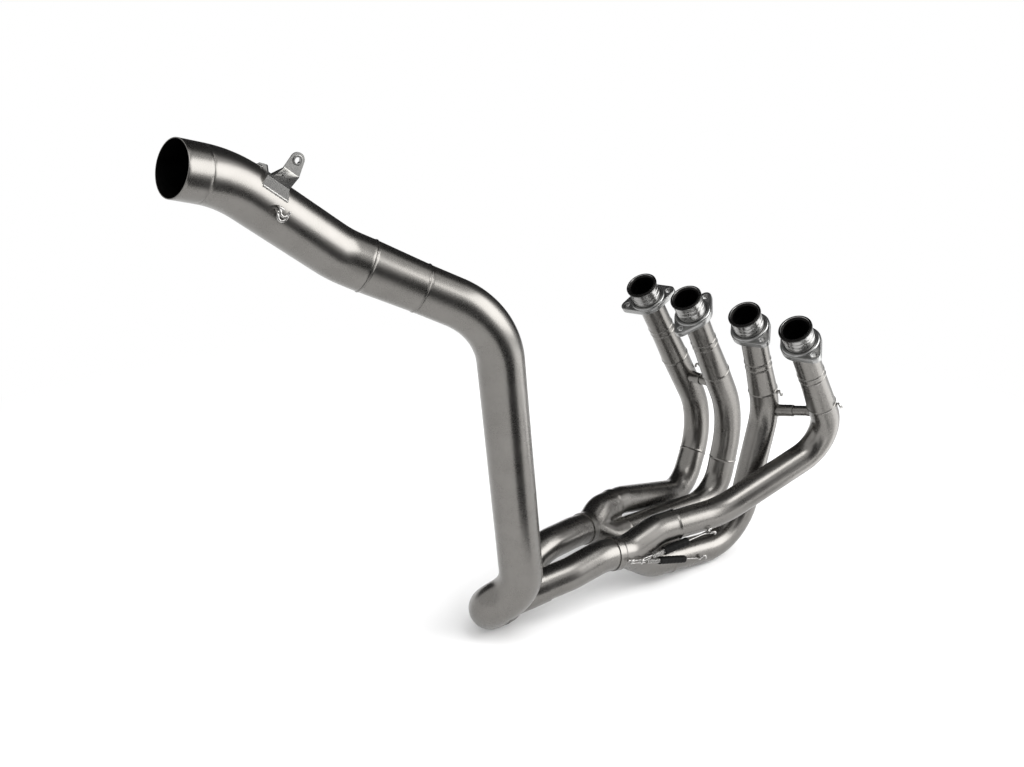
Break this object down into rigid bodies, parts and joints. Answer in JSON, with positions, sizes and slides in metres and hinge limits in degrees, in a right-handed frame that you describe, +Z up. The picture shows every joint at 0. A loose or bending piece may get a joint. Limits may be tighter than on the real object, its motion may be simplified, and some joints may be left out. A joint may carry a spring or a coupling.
{
  "type": "motorcycle exhaust header",
  "caption": "Exhaust header: bent primaries from a row of port spigots merge in collectors and a link pipe that rises to a silencer outlet.",
  "frame": {"origin": "centre of the part's box, on the floor that it lies on", "axes": "+X along the row of ports, +Y towards the front of the machine, +Z up"},
  "size_m": [0.3478, 0.9998, 0.7062],
  "materials": {
    "tube_steel": "satin",
    "machined_steel": "turned",
    "flange_steel": "satin",
    "bracket_steel": "satin"
  },
  "bodies": {
    "header": {"primary_1": "tube_steel", "primary_2": "tube_steel", "primary_3": "tube_steel", "primary_4": "tube_steel", "spigot_1": "machined_steel", "spigot_2": "machined_steel", "spigot_3": "machined_steel", "spigot_4": "machined_steel", "collector_near": "tube_steel", "collector_far": "tube_steel", "secondary_near": "tube_steel", "secondary_far": "tube_steel", "collector_rear": "tube_steel", "link_lower": "tube_steel", "link_cone": "tube_steel", "link_upper": "tube_steel", "outlet_sleeve": "tube_steel", "balance_sleeve_1": "tube_steel", "balance_stub_2": "tube_steel", "balance_sleeve_3": "tube_steel", "balance_stub_4": "tube_steel", "bracket": "bracket_steel", "bracket_bush": "bracket_steel"},
    "loose_flange_1": {"flange_1": "flange_steel"},
    "loose_flange_2": {"flange_2": "flange_steel"},
    "loose_flange_3": {"flange_3": "flange_steel"},
    "loose_flange_4": {"flange_4": "flange_steel"}
  },
  "joints": [
    {"name": "flange_1_turn", "type": "hinge", "parent": "header", "child": "loose_flange_1", "pos_m": [-0.14047, 0.34003, 0.35753], "axis": [0, -0.5779, 0.8161], "continuous": true},
    {"name": "flange_2_turn", "type": "hinge", "parent": "header", "child": "loose_flange_2", "pos_m": [-0.05547, 0.34292, 0.35345], "axis": [0, -0.5779, 0.8161], "continuous": true},
    {"name": "flange_3_turn", "type": "hinge", "parent": "header", "child": "loose_flange_3", "pos_m": [0.04953, 0.34003, 0.35753], "axis": [0, -0.5779, 0.8161], "continuous": true},
    {"name": "flange_4_turn", "type": "hinge", "parent": "header", "child": "loose_flange_4", "pos_m": [0.13453, 0.34003, 0.35753], "axis": [0, -0.5779, 0.8161], "continuous": true}
  ]
}
